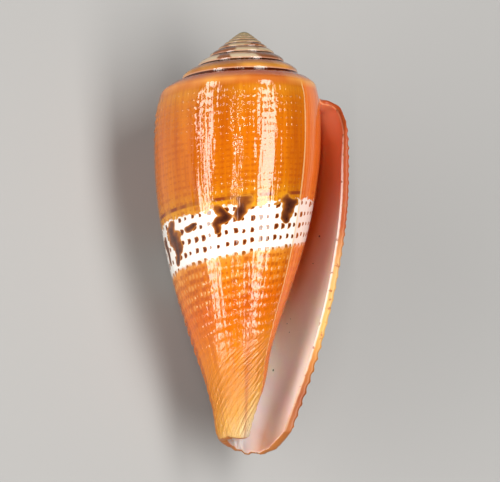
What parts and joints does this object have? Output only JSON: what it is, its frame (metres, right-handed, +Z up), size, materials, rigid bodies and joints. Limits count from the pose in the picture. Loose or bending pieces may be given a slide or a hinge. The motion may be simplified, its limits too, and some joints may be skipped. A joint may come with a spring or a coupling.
{
  "type": "cone shell",
  "caption": "Orange cone shell with a low stepped spire, a pale spotted band and a long narrow aperture, lying with the aperture up.",
  "frame": {"origin": "bottom centre of the bounding box, where the back of the body whorl and the base tip touch the surface", "axes": "+Y along the shell's axis towards the apex, +Z up, the way the aperture faces, +X on the outer lip's side"},
  "size_m": [0.027, 0.0596, 0.0253],
  "materials": {
    "shell_wall": "gloss"
  },
  "bodies": {
    "root": {"cone_shell": "shell_wall"}
  },
  "joints": []
}
